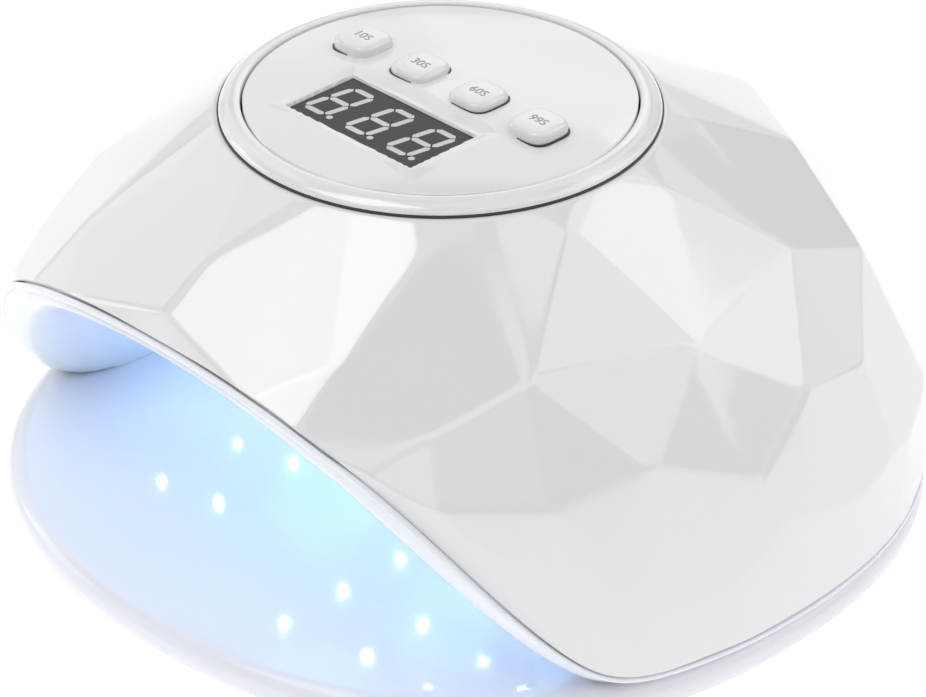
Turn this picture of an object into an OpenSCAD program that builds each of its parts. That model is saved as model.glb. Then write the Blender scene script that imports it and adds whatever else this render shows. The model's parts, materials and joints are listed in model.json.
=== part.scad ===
// Table-top LED lamp that cures gel and resin: a faceted dome with an arched hand opening,
// standing on a loose base tray that magnets hold in place.
// Frame: millimetres, +Z up, table at z = 0, centre of the base at the origin,
// hand opening towards -Y.

/* [Base tray] */
// Width of the base tray and of the housing, side to side
base_w = 204; // [190:1:220]
// Depth of the base tray and of the housing, front to back
base_d = 200; // [190:1:212]
// Height of the tray's upper face above the table
tray_top = 8; // [7:0.5:10]
// Wall thickness of the hollow tray
tray_wall = 2.4; // [2:0.2:3]
// Roundness exponent of the plan outline: 2 is an ellipse, more is squarer
plan_n = 2.25; // [2:0.05:2.6]

/* [Dome] */
// Height where the faceted cover meets the bezel ring
crown_z = 97; // [90:1:105]
// Thickness of the liner's flange that shows as a lip below the cover
lip_h = 1.9; // [1.5:0.1:2.5]
// Wall thickness of the faceted cover
cover_wall = 3; // [2.4:0.2:4]

/* [Hand opening] */
// Height of the cover's arched edge at its middle
arch_z = 74; // [66:1:76]
// Half width of the arched edge at its feet
arch_half = 92.5; // [90:0.5:95]
// Half width of the hand bay at the tray
bay_half = 78; // [70:1:80]
// Height of the hand bay's roof
bay_z = 66; // [58:1:66]
// Where the hand bay's back wall stands
bay_back = 72; // [60:1:74]

/* [Control panel] */
// How far the panel's centre sits in front of the base centre
panel_forward = 7.5; // [0:0.5:10]
// Radius of the round control panel
panel_r = 43; // [40:0.5:46]
// Outer radius of the bezel ring
bezel_r = 48.3; // [46:0.1:52]
// Distance from one button's centre to the next
button_pitch = 18.1; // [16:0.1:19]
// Width of a square button with rounded corners
button_w = 11; // [9:0.5:12]
// Travel of a button when it is pressed
button_travel = 0.8; // [0.4:0.1:0.8]

/* [Display] */
// Distance from one digit's centre to the next
digit_pitch = 12.7; // [12:0.1:13]
// Height of a digit
digit_h = 14.2; // [12:0.1:15]
// Stroke width of a segment
segment_w = 1.5; // [1:0.1:2]

/* [Lights] */
// Diameter of one light's lens
lens_d = 5; // [3:0.5:5]
// Thickness of the aluminium light boards
board_t = 1.6; // [1:0.2:2]

/* [Hidden] */
$fn = 64;

panel_y = -panel_forward;
lip_z = tray_top + lip_h;
cover_z = tray_top + 2;
foot_gap = 1;
skirt_top = 35;
panel_top = crown_z + 4.7;
face_z = crown_z + 3;
board_z = face_z - 8;
button_y = panel_y + 2.7;
button_top = panel_top + 1.7;
display_y = panel_y - 17.7;
display_size = [37.7, 19, 7.9];
socket_z = 24;
socket_y = base_d / 2 - 1.6;

// Signed power, for superellipse outlines
function spow(v, p) = sign(v) * pow(abs(v), p);

// Points of the plan outline, drawn in by a margin
function plan(margin, steps = 120) =
    [for (i = [0 : steps - 1]) let (t = 360 * i / steps)
        [(base_w / 2 - margin) * spow(cos(t), 2 / plan_n),
         (base_d / 2 - margin) * spow(sin(t), 2 / plan_n)]];

function at_height(points, z) = [for (p = points) [p.x, p.y, z]];

// Convex solid around a list of points
module wrap(points) {
    hull() polyhedron(points, [[for (i = [0 : len(points) - 1]) i]]);
}

// --- Faceted cover -------------------------------------------------------------------

// The plan centre drifts forward with height, from the base centre to the panel's centre
function lean(z) = -panel_forward * (z - cover_z) / (crown_z - cover_z);

// A corner of the dome: angle from the front, height, and reach from the plan centre
function corner(angle, z, reach) = [reach * sin(angle), lean(z) - reach * cos(angle), z];

// Corners of the facets on the right half: [angle, height, reach]
crown_corners = [[0, 95.5, 52], [16, 95.5, 52], [45, 95, 53], [74, 94, 54.5], [104, 94, 54.5],
                 [135, 95, 53.5], [165, 95, 53]];
upper_corners = [[0, 88, 67.5], [2, 79, 82], [30, 79.5, 79.5], [58, 75, 80], [87, 72.5, 79],
                 [117, 75.5, 78.5], [148, 79, 79], [171, 77, 84.5]];
middle_corners = [[26, 72.5, 88], [43, 68, 90], [72, 56, 92.5], [101, 56, 92], [131, 65, 91],
                  [160, 62, 94.5]];
lower_corners = [[43, 56, 99.5], [57.5, 53.5, 97.5], [87, 46, 95.5], [114, 52, 95.5],
                 [130, 47, 99.5], [150, 46, 101.5], [171, 50, 101]];
facet_corners = concat(crown_corners, upper_corners, middle_corners, lower_corners);

function both_sides(rows) =
    concat([for (c = rows) corner(c[0], c[1], c[2])], [for (c = rows) corner(-c[0], c[1], c[2])]);

// The smooth skirt below the facets, drawn in slightly towards its upper edge
skirt = concat(at_height(plan(0), cover_z), at_height(plan(0.3), cover_z + 8),
               at_height(plan(1.6), cover_z + 17), at_height(plan(4), skirt_top));

// Arched edge of the cover: u runs from -1 at the left foot to 1 at the right foot
function arch_height(u) = cover_z + (arch_z - cover_z) * (1 - pow(abs(u), 3.3));
function arch_y(u) = -base_d / 2 + 8.7 + 38 * pow(abs(u), 3.7) + 6 * pow(abs(u), 20);
function arch_edge(u) = [arch_half * u, arch_y(u), arch_height(u)];
arch_corners = [for (u = [-0.8 : 0.1 : 0.8]) arch_edge(u)];

module dome_solid() {
    wrap(concat(both_sides(facet_corners), skirt, arch_corners,
                at_height([for (t = [0 : 5 : 355]) [49.5 * cos(t), panel_y + 49.5 * sin(t)]],
                          crown_z)));
}

// Front-view profile of the hand opening, which the cover is cut to
opening_profile = concat([[-arch_half - 0.2, cover_z - 5]],
    [for (u = [-1 : 0.04 : 1]) [(arch_half + 0.2) * u, arch_height(u)]],
    [[arch_half + 0.2, cover_z - 5]]);

module opening_tunnel(depth_end) {
    front = -base_d;
    translate([0, depth_end, 0]) rotate([90, 0, 0])
        linear_extrude(depth_end - front) polygon(opening_profile);
}

// Screw posts inside the cover, each tied to the wall by a rib
module cover_posts() {
    for (p = screw_places) translate([p.x, p.y, tray_top + post_h + 0.1]) {
        difference() {
            cylinder(d = 8, h = 16);
            translate([0, 0, -1]) cylinder(d = 2.9, h = 13);
        }
        rotate(atan2(p.y, p.x)) translate([3, -1, 4]) cube([3.4, 2, 11]);
    }
}

module upper_shell() {
    inner = (base_w - 2 * cover_wall) / base_w;
    color("white") cover_posts();
    color("white") difference() {
        dome_solid();
        translate([0, 0, cover_z]) scale([inner, inner, inner]) translate([0, 0, -cover_z]) dome_solid();
        translate([0, 0, cover_z - 5]) linear_extrude(5.01) polygon(plan(cover_wall));
        translate([0, panel_y, crown_z - 15]) cylinder(r = bezel_r - 1.6, h = 30);
        opening_tunnel(-38);
        translate([0, base_d / 2 + 5, socket_z]) rotate([90, 0, 0]) cylinder(d = 11, h = 20);
        // louvres that let the warm air out at the back
        for (side = [-1, 1], i = [0 : 4])
            translate([side * (24 + 5 * i), base_d / 2, socket_z - 2]) cube([2.2, 24, 12], center = true);
    }
}

// --- Liner: the white vault of the hand bay, with its rim and its lower flange --------

liner_wall = 2.2;
post_h = 5;
foot_depth = 43.5;
steps_u = 32;
steps_t = 8;

// Mouth of the bay, just inside the cover's edge
mouth_half = bay_half + 4;
mouth_z = arch_z - 4.2;
function mouth(u) = [mouth_half * u, arch_y(u) + 0.6, mouth_z - (mouth_z - tray_top) * pow(abs(u), 2.9)];
function rim(u) = arch_edge(u) + [-0.3 * u, 0.6, -0.4 - 1.6 * pow(abs(u), 8)];

// Shrinking of the bay towards its back wall, t from 0 at the mouth to 1 at the wall
function narrowing(t) = t < 0.62 ? 1 : pow(1 - pow((t - 0.62) / 0.5, 2.4), 0.4);
function bay_y(u, t, wall) = (1 - t) * (mouth(u).y + 2) + t * (bay_back + wall);
function bay_point(u, t, wall) =
    let (s = narrowing(t), flare_out = 4 * pow(max(0, 1 - t / 0.15), 2))
    [(bay_half + flare_out + wall) * s * u, bay_y(u, t, wall),
     tray_top + ((bay_z - tray_top) * (0.35 + 0.65 * s) + flare_out * 0.7 + wall) * (1 - pow(abs(u), 2.9))];

module vault(wall) {
    n = steps_u + 1;
    us = [for (i = [0 : steps_u]) -1 + 2 * i / steps_u];
    ts = [for (j = [0 : steps_t]) pow(j / steps_t, 1.3)];
    inside = concat([for (u = us) rim(u)], [for (u = us) mouth(u)],
                    [for (t = ts, u = us) bay_point(u, t, 0)]);
    outside = concat([for (u = us) rim(u) + [0, 2.4, 0]],
                     [for (u = us) bay_point(u, 0, wall) + [0, 0.4, 0]],
                     [for (t = ts, u = us) bay_point(u, t, wall) + [0, t < 0.02 ? 1 : 0, 0]]);
    rows = len(ts) + 2;
    o = rows * n;
    function quad(a, b, c, d) = [[a, b, c], [a, c, d]];
    strips = [for (j = [0 : rows - 2], i = [0 : steps_u - 1])
        let (a = j * n + i, b = a + 1, c = b + n, d = a + n)
        each concat(quad(a, d, c, b), quad(o + a, o + b, o + c, o + d))];
    front = [for (i = [0 : steps_u - 1]) each quad(i, i + 1, o + i + 1, o + i)];
    feet = [for (j = [0 : rows - 2])
        let (a = j * n, b = a + n, c = a + n - 1, d = b + n - 1)
        each concat(quad(a, o + a, o + b, b), quad(c, d, o + d, o + c))];
    last = (rows - 1) * n;
    wall_in = [[for (i = [0 : steps_u]) last + steps_u - i]];
    wall_out = [[for (i = [0 : steps_u]) o + last + i]];
    sill = quad(last, o + last, o + last + steps_u, last + steps_u);
    polyhedron(concat(inside, outside), concat(strips, front, feet, wall_in, wall_out, sill));
}

// Footprint of the bay on the tray, drawn out by a margin
function bay_footprint(margin) =
    let (ts = [for (j = [0 : 2 * steps_t]) j / (2 * steps_t)])
    concat([for (t = ts) let (p = bay_point(1, t, margin)) [p.x, p.y]],
           [for (i = [len(ts) - 1 : -1 : 0]) let (p = bay_point(-1, ts[i], margin)) [p.x, p.y]]);

// Bottom frame: the flat ring between the hand bay and the plan outline, behind the feet's fronts
module bottom_frame() {
    color("ghostwhite") translate([0, 0, tray_top]) difference() {
        union() {
            linear_extrude(lip_h) difference() {
                polygon(plan(0.4));
                polygon(bay_footprint(liner_wall + 0.2));
                translate([-base_w, -base_d]) square([2 * base_w, base_d - foot_depth]);
            }
            for (p = screw_places) translate(p) cylinder(d = 9.4, h = post_h);
            for (p = magnet_places) translate(p) cylinder(d = 11, h = 4.4);
        }
        for (p = screw_places) translate([p.x, p.y, -1]) {
            cylinder(d = 3.4, h = 12);
            cylinder(d = 6.6, h = 3.6);
        }
        for (p = magnet_places) translate([p.x, p.y, -1]) cylinder(d = 8.2, h = 4.6);
    }
}

// --- Places of the lights -------------------------------------------------------------

// Places along y of the staggered rows of lights
lower_row = [-38.5, -14.5, 9.5, 33.5];
upper_row = [-26.5, -2.5, 21.5];
outer_row = [-30, -11, 8, 27];
inner_row = [-22, -4, 14, 32];

wall_low = [64.3, 33];
wall_high = [58, 41.5];
roof_out = [30.5, 62.4];
roof_in = [10.5, 65.8];
rear_z = 33;
function slope_of(from, to) = atan2(to.y - from.y, to.x - from.x);
wall_tilt = slope_of(wall_low, wall_high);
roof_tilt = slope_of(roof_out, roof_in);
rear_spots = [[-40, -5], [-24, 1], [-8, 4], [8, 4], [24, 1], [40, -5]];

// A seat puts its children at a light's place, with +Z into the hand bay
module side_seats(low, high, low_row, high_row, tilt, side) {
    for (y = low_row) translate([side * low[0], y, low[1]]) rotate([0, side * -tilt, 0]) children();
    for (y = high_row) translate([side * high[0], y, high[1]]) rotate([0, side * -tilt, 0]) children();
}
module wall_seats(side)
    side_seats(wall_low, wall_high, lower_row, upper_row, wall_tilt, side) children();
module roof_seats(side)
    side_seats(roof_out, roof_in, outer_row, inner_row, roof_tilt, side) children();
module rear_seats() {
    for (p = rear_spots) translate([p[0], bay_back, rear_z + p[1]]) rotate([90, 0, 0]) children();
}

board_back = 4.6;

// One light: a lens on a short stem, which stands on its board
module light() {
    cylinder(d = lens_d, h = 1);
    translate([0, 0, 1]) scale([1, 1, 0.6]) intersection() {
        sphere(d = lens_d, $fn = 24);
        translate([0, 0, lens_d / 2]) cube(lens_d, center = true);
    }
    translate([0, 0, 0.01 - board_back]) cylinder(d = lens_d - 0.8, h = board_back + 0.1);
}
module light_hole() { translate([0, 0, -8]) cylinder(d = lens_d + 0.6, h = 16); }
module glow(name) { color([0.78, 0.86, 1]) children(); }

// A flat aluminium board behind two rows of lights
module side_board(low, high, tilt, side, length, mid_y) {
    c = (low + high) / 2;
    reach = norm(high - low);
    color("gainsboro") translate([side * c[0], mid_y, c[1]]) rotate([0, side * -tilt, 0])
        translate([0, 0, -board_back - board_t / 2]) difference() {
            cube([reach + 12, length, board_t], center = true);
            for (e = [-1, 1]) translate([0, e * (length / 2 - 4), 0])
                cylinder(d = 3.2, h = 5, center = true);
        }
}
wall_board_l = 92;
wall_board_y = -2.5;
roof_board_l = 80;
roof_board_y = 1;

module wall_board(side) { side_board(wall_low, wall_high, wall_tilt, side, wall_board_l, wall_board_y); }
module roof_board(side) { side_board(roof_out, roof_in, roof_tilt, side, roof_board_l, roof_board_y); }
module left_light_board() { wall_board(-1); }
module right_light_board() { wall_board(1); }
module left_roof_board() { roof_board(-1); }
module right_roof_board() { roof_board(1); }
module rear_light_board() {
    color("gainsboro") translate([0, bay_back + board_back + board_t / 2, rear_z]) difference() {
        cube([92, board_t, 20], center = true);
        for (e = [-1, 1]) translate([e * 42, 0, 6]) rotate([90, 0, 0])
            cylinder(d = 3.2, h = 5, center = true);
    }
}
module left_lights() glow() wall_seats(-1) light();
module right_lights() glow() wall_seats(1) light();
module left_roof_lights() glow() roof_seats(-1) light();
module right_roof_lights() glow() roof_seats(1) light();
module rear_lights() glow() rear_seats() light();

module inner_liner() {
    color("ghostwhite") difference() {
        vault(liner_wall);
        for (side = [-1, 1]) {
            wall_seats(side) light_hole();
            roof_seats(side) light_hole();
        }
        rear_seats() light_hole();
        for (s = [-1, 1]) translate([s * 5, bay_back, rear_z + 14]) rotate([90, 0, 0])
            cylinder(d = 3.4, h = 16, center = true);
    }
}

// --- Fixings of the housing -----------------------------------------------------------

screw_places = [for (s = [-1, 1]) each [[s * 91, -8, 0], [s * 84, 44, 0], [s * 44, 84, 0]]];
magnet_places = [for (s = [-1, 1]) each [[s * 87, -27, 0], [s * 20, 84, 0]]];

// A pan-head screw, head down, with a cross recess
module screw(d, length, head_d, head_h) {
    difference() {
        union() {
            cylinder(d = head_d, h = head_h);
            cylinder(d = d, h = head_h + length);
        }
        for (a = [0, 90]) rotate(a) cube([head_d * 0.55, head_d * 0.14, head_h], center = true);
    }
}

module housing_screws() {
    color("silver") for (p = screw_places) translate([p.x, p.y, tray_top + 0.8]) screw(2.9, 12, 6, 1.78);
}
module disc_magnet() { cylinder(d = 8, h = 2.4); }
module housing_magnets() {
    color("silver") for (p = magnet_places) translate([p.x, p.y, tray_top + 1.18]) disc_magnet();
}

// --- Base tray -------------------------------------------------------------------------

// Rounded outside of the tray: height, and margin inside the plan outline
tray_skin = [[foot_gap, 1.3], [2.6, 0.3], [4.5, 0.2], [tray_top - 1.2, 1.3], [tray_top - 0.3, 2.7],
             [tray_top, 4.4]];

module base_tray() {
    lift = foot_gap;
    color("white") difference() {
        union() {
            difference() {
                wrap([for (s = tray_skin) each at_height(plan(s[1]), s[0])]);
                translate([0, 0, -1]) linear_extrude(tray_top - tray_wall + 1) polygon(plan(4.6));
            }
            for (p = feet_places) translate([p.x, p.y, lift + 0.6])
                cylinder(d = 17, h = tray_top - lift - 1.6);
            for (p = magnet_places) translate([p.x, p.y, lift + 0.6])
                cylinder(d = 10.8, h = tray_top - lift - 1.6);
            translate([0, 0, tray_top - tray_wall - 2.2]) linear_extrude(2.6)
                for (a = [0 : 60 : 120]) rotate(a) square([160, 1.6], center = true);
        }
        for (p = feet_places) translate([p.x, p.y, 0]) cylinder(d = 13, h = lift + 1.6);
        for (p = magnet_places) translate([p.x, p.y, 0]) cylinder(d = 8.2, h = tray_top - 1.2);
    }
}
feet_places = [for (s = [-1, 1]) each [[s * 62, -60, 0], [s * 40, 78, 0]]];
module rubber_feet() {
    color("dimgray") for (p = feet_places) translate([p.x, p.y, 0]) union() {
        translate([0, 0, 0.4]) cylinder(d = 12.6, h = foot_gap + 1.2);
        cylinder(d1 = 11.8, d2 = 12.6, h = 0.4);
    }
}
module tray_magnets() {
    color("silver") for (p = magnet_places) translate([p.x, p.y, tray_top - 1.22 - 2.4]) disc_magnet();
}

// --- Control panel ----------------------------------------------------------------------

// Height of the panel's gently domed upper face at a distance from its centre
function panel_height(r) = panel_top - 2.2 * pow(r / panel_r, 2);

module rounded_square(w, r) {
    hull() for (x = [-1, 1], y = [-1, 1]) translate([x * (w / 2 - r), y * (w / 2 - r)]) circle(r, $fn = 32);
}
module at_buttons() { for (i = [0 : 3]) translate([button_pitch * (i - 1.5), button_y, 0]) children(); }
module at_bosses() {
    for (a = [45 : 90 : 315]) translate([0, panel_y, 0]) rotate(a) translate([34, 0, 0]) children();
}

module control_panel() {
    wall = 2;
    drop = 6;
    profile = concat(
        [for (i = [0 : 8]) let (r = panel_r * i / 8) [r, panel_height(r)]],
        [[panel_r, board_z + drop], [panel_r - wall, board_z + drop]],
        [for (i = [8 : -1 : 0]) let (r = (panel_r - wall) * i / 8) [r, panel_height(r) - wall]]);
    color("whitesmoke") difference() {
        union() {
            translate([0, panel_y, 0]) rotate_extrude($fn = 96) polygon(profile);
            at_bosses() translate([0, 0, board_z + 0.02]) cylinder(d = 6, h = panel_top - board_z - 2.6);
            translate([0, display_y, face_z + 0.1]) translate([-21.5, -12.5, 0]) cube([43, 25, 0.9]);
        }
        // recess of the display, with sloping sides, and its window
        translate([0, display_y, face_z + 0.6]) hull() {
            translate([-19.4, -10, -0.01]) cube([38.8, 20, 0.01]);
            translate([-23, -12.6, 3.4]) cube([46, 26, 0.01]);
        }
        translate([-19.2, display_y - 9.8, face_z - 6]) cube([38.4, 19.6, 7]);
        at_buttons() translate([0, 0, face_z - 6]) linear_extrude(20) rounded_square(button_w + 0.6, 4.2);
        at_bosses() translate([0, 0, board_z - 1]) cylinder(d = 2.3, h = 7);
    }
}

module button_cap() {
    crown = 1.2;
    color("white") translate([0, button_y, 0]) {
        hull() {
            translate([0, 0, panel_top - 3.8]) linear_extrude(button_top - crown - panel_top + 3.8)
                rounded_square(button_w, 4);
            translate([0, 0, button_top - 0.01]) linear_extrude(0.01) rounded_square(button_w - 2, 3.2);
        }
        translate([0, 0, panel_top - 4.6]) linear_extrude(0.9) rounded_square(button_w + 2, 4.6);
        translate([0, 0, switch_top + button_travel + 0.1])
            cylinder(d = 4, h = panel_top - 4.4 - switch_top - button_travel);
    }
}
switch_top = board_z + 4;
module button_10s() translate([-1.5 * button_pitch, 0, 0]) button_cap();
module button_30s() translate([-0.5 * button_pitch, 0, 0]) button_cap();
module button_60s() translate([0.5 * button_pitch, 0, 0]) button_cap();
module button_99s() translate([1.5 * button_pitch, 0, 0]) button_cap();

module tact_switches() {
    color("dimgray") at_buttons() translate([0, 0, board_z]) {
        translate([-3, -3, 0]) cube([6, 6, 3]);
        cylinder(d = 3.4, h = 4);
    }
}

module bezel_ring() {
    inside = panel_r + 0.4;
    color("white") translate([0, panel_y, 0]) rotate_extrude($fn = 128) union() {
        difference() {
            translate([(inside + bezel_r) / 2, crown_z + 0.9]) intersection() {
                translate([0, -3.4]) circle(r = 5.4, $fn = 64);
                square([bezel_r - inside, 6], center = true);
            }
            translate([inside - 10, crown_z - 8]) square([20, 8.15]);
        }
        translate([inside, board_z + 0.5]) square([2.2, crown_z - board_z]);
    }
}

module control_board() {
    color("darkgreen") difference() {
        translate([0, panel_y, board_z - 1.62]) cylinder(r = 40, h = 1.6);
        at_bosses() translate([0, 0, board_z - 3]) cylinder(d = 2.6, h = 5);
    }
}
module panel_screws() {
    color("silver") at_bosses() translate([0, 0, board_z - 1.64 - 1.6]) screw(2.2, 6.4, 4.6, 1.6);
}
module controller_chip() {
    color([0.12, 0.12, 0.13]) translate([12, panel_y + 22, board_z - 1.64 - 1.75]) union() {
        translate([-6.4, -3.75, 0]) cube([12.8, 7.5, 1.7]);
        for (i = [0 : 9], s = [-1, 1]) translate([-5.7 + 1.27 * i, s * 4.3, 0.85])
            cube([0.42, 1.6, 1.7], center = true);
    }
}
module ribbon_header() {
    color("ivory") translate([-11, panel_y + 22, board_z - 1.64 - 6]) difference() {
        translate([-8, -3, 0]) cube([16, 6, 6]);
        translate([-7, -2, -1]) cube([14, 4, 5.5]);
    }
}

// --- Display ----------------------------------------------------------------------------

slant = 10;
// One bar of a digit: a flat hexagon along x
module bar(length) {
    h = length / 2;
    w = segment_w / 2;
    polygon([[-h, 0], [-h + w, w], [h - w, w], [h, 0], [h - w, -w], [-h + w, -w]]);
}
// The seven bars of a digit and its point
module digit() {
    half_w = 3.05;
    half_h = (digit_h - segment_w) / 2;
    gap = 0.5;
    multmatrix([[1, tan(slant), 0, 0], [0, 1, 0, 0], [0, 0, 1, 0]]) {
        for (y = [-half_h, 0, half_h]) translate([0, y]) bar(2 * half_w - gap);
        for (x = [-half_w, half_w], y = [-half_h / 2, half_h / 2]) translate([x, y]) rotate(90)
            bar(half_h - gap);
    }
    translate([3.6, -half_h]) circle(d = 1.5, $fn = 24);
}
module digits() {
    for (i = [-1 : 1]) translate([digit_pitch * i - 0.4, display_y]) digit();
}
segment_depth = 1.2;
module display_body() {
    color([0.13, 0.13, 0.14]) difference() {
        translate([-display_size.x / 2, display_y - display_size.y / 2, face_z - display_size.z])
            cube(display_size);
        translate([0, 0, face_z - segment_depth]) linear_extrude(segment_depth + 1) digits();
    }
}
module display_segments() {
    color("lightgray") translate([0, 0, face_z - segment_depth + 0.01])
        linear_extrude(segment_depth - 0.01) digits();
}

// --- Rear electronics -------------------------------------------------------------------

driver_y = bay_back + 9.5;
module driver_board() {
    color("darkgreen") translate([0, driver_y, 27]) difference() {
        cube([70, 1.6, 26], center = true);
        for (sx = [-1, 1], sz = [-1, 1]) translate([sx * 31, 0, sz * 9]) rotate([90, 0, 0])
            cylinder(d = 3.2, h = 5, center = true);
    }
}
module driver_coil() {
    color("sienna") translate([-20, driver_y + 0.82, 27]) rotate([-90, 0, 0]) difference() {
        cylinder(d = 13, h = 6);
        translate([0, 0, -1]) cylinder(d = 6, h = 8);
    }
}
module driver_capacitors() {
    color("black") for (x = [14, 23.5]) translate([x, driver_y + 0.82, 30]) rotate([-90, 0, 0])
        cylinder(d = 8, h = 8);
}
module board_screws() {
    color("silver") {
        for (side = [-1, 1], e = [-1, 1]) {
            c = (wall_low + wall_high) / 2;
            translate([side * c[0], wall_board_y + e * (wall_board_l / 2 - 4), c[1]])
                rotate([0, side * -wall_tilt, 0]) translate([0, 0, -board_back - board_t - 1.62])
                screw(2.4, 2.2, 5, 1.6);
            r = (roof_out + roof_in) / 2;
            translate([side * r[0], roof_board_y + e * (roof_board_l / 2 - 4), r[1]])
                rotate([0, side * -roof_tilt, 0]) translate([0, 0, -board_back - board_t - 1.62])
                screw(2.4, 2.2, 5, 1.6);
        }
    }
}
module hand_sensor() {
    color([0.15, 0.1, 0.12]) for (s = [-1, 1])
        translate([s * 5, bay_back - 1, rear_z + 14]) rotate([-90, 0, 0]) {
            cylinder(d = 3, h = 4.4);
            sphere(d = 3, $fn = 24);
        }
}
module dc_socket() {
    color([0.1, 0.1, 0.1]) translate([0, socket_y, socket_z]) rotate([90, 0, 0]) union() {
        difference() {
            union() {
                cylinder(d = 10.4, h = 3.4);
                translate([-5.5, -5.5, 3.6]) cube([11, 11, 9]);
                translate([0, 0, 3]) cylinder(d = 9.4, h = 2);
            }
            translate([0, 0, -1]) cylinder(d = 6.4, h = 11);
        }
        translate([0, 0, 1]) cylinder(d = 2, h = 10);
    }
}

// Leads from the driver board up to the control board, one round bundle along a bent path
module lead(from, to, d) {
    hull() { translate(from) sphere(d = d, $fn = 16); translate(to) sphere(d = d, $fn = 16); }
}
module wire_harness() {
    path = [[-30, driver_y + 2.8, 36], [-30, driver_y + 4, 46], [-30, driver_y - 2, 58],
            [-30, driver_y - 20, 72], [-22, driver_y - 47, 79.5], [-14, panel_y + 26, 81],
            [-14, panel_y + 22, board_z - 9.5]];
    color("darkred") for (i = [0 : len(path) - 2]) lead(path[i], path[i + 1], 3.6);
}

base_tray();
rubber_feet();
tray_magnets();
upper_shell();
inner_liner();
bottom_frame();
housing_magnets();
housing_screws();
bezel_ring();
control_panel();
panel_screws();
display_body();
display_segments();
button_10s();
button_30s();
button_60s();
button_99s();
tact_switches();
control_board();
controller_chip();
ribbon_header();
left_light_board();
left_lights();
right_light_board();
right_lights();
left_roof_board();
left_roof_lights();
right_roof_board();
right_roof_lights();
rear_light_board();
rear_lights();
board_screws();
driver_board();
driver_coil();
driver_capacitors();
hand_sensor();
dc_socket();
wire_harness();
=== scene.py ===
# %% [markdown]
# # A table-top curing lamp
# The lamp is a glossy white dome with cut-gem facets, an arched opening for a hand, a round
# control panel on top and a loose tray below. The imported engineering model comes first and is
# the fixed frame: every finished surface in this lesson is worked out in the same millimetres,
# so nothing has to be fitted by eye afterwards.

# %% Load the engineering model
import bpy
import bmesh
import numpy as np
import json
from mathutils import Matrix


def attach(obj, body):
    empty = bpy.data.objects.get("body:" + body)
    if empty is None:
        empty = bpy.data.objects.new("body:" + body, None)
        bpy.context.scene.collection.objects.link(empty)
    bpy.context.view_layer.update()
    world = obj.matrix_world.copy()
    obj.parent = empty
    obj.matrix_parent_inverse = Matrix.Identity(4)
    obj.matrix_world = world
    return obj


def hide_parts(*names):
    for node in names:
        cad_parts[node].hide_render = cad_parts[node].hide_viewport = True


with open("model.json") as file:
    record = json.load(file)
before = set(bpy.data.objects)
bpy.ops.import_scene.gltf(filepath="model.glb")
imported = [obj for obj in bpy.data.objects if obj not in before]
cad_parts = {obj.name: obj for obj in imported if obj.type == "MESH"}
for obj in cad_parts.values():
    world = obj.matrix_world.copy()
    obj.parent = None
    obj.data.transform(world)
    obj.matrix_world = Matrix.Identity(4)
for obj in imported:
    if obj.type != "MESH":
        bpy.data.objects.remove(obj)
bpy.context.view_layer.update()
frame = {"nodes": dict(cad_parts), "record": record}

MM = 0.001
print("engineering model:", len(frame["nodes"]), "nodes")

# %% [markdown]
# ## Floor, light and camera
# White plastic only shows its shape when the light around it is uneven. Four softboxes and a
# surround of pale and darker cells, like cards hung round a studio table, give every facet its
# own tone. A long lens from above the front right corner keeps the proportions calm.

# %% Camera
from mathutils import Matrix, Vector


def placed(name, data):
    """A new object for the data, put into the scene at the origin."""
    obj = bpy.data.objects.new(name, data)
    bpy.context.scene.collection.objects.link(obj)
    return obj


def aimed(place, target):
    """Pose of an object at a place, in millimetres, whose -Z axis points at the target."""
    place, target = Vector(place) * MM, Vector(target) * MM
    turn = (target - place).to_track_quat("-Z", "Y").to_matrix().to_4x4()
    return Matrix.Translation(place) @ turn


lens = bpy.data.cameras.new("camera")
lens.lens, lens.sensor_width = 173.15, 36.0
lens.clip_end = 50
camera = placed("camera", lens)
camera.matrix_world = aimed((610.5, -600.4, 560.5), (-37.44, 36.16, 0))
bpy.context.scene.camera = camera
bpy.context.scene.view_settings.view_transform = "Standard"
print("camera with a", lens.lens, "mm lens")

# %% Softboxes and surround


LAMP_MIDDLE = (0, 0, 40)


def softbox(name, place, size, watts):
    """A square area light of a size in metres, aimed at the middle of the lamp."""
    data = bpy.data.lights.new(name, "AREA")
    data.size, data.energy = size, watts
    placed(name, data).matrix_world = aimed(place, LAMP_MIDDLE)


softbox("overhead_softbox", (-240, -500, 1400), 0.75, 3.6)
softbox("right_softbox", (780, 1020, 1054), 1.1, 3.6)
softbox("left_softbox", (-1390, -600, 520), 0.7, 2.2)
softbox("back_softbox", (-1030, 1010, 890), 0.7, 1.2)
world = bpy.data.worlds.new("surround")
bpy.context.scene.world = world
world.use_nodes = True
sky = world.node_tree
cells = sky.nodes.new("ShaderNodeTexVoronoi")
cells.inputs["Scale"].default_value = 4.6
sky.links.new(sky.nodes.new("ShaderNodeTexCoord").outputs["Generated"], cells.inputs["Vector"])
cards = sky.nodes.new("ShaderNodeValToRGB")
for stop, (where, grey) in zip(cards.color_ramp.elements, ((0.3, 0.28), (0.9, 1.24))):
    stop.position, stop.color = where, (grey, grey, grey, 1)
sky.links.new(cells.outputs["Color"], cards.inputs["Fac"])
sky.links.new(cards.outputs["Color"], sky.nodes["Background"].inputs["Color"])

# %% [markdown]
# ## Writing shaders as arithmetic
# Node graphs are easier to read as formulas. A small class wraps a socket and adds a Math node
# for each operator, and one method makes any other node: its settings first, then its sockets.

# %% The wire class


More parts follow.
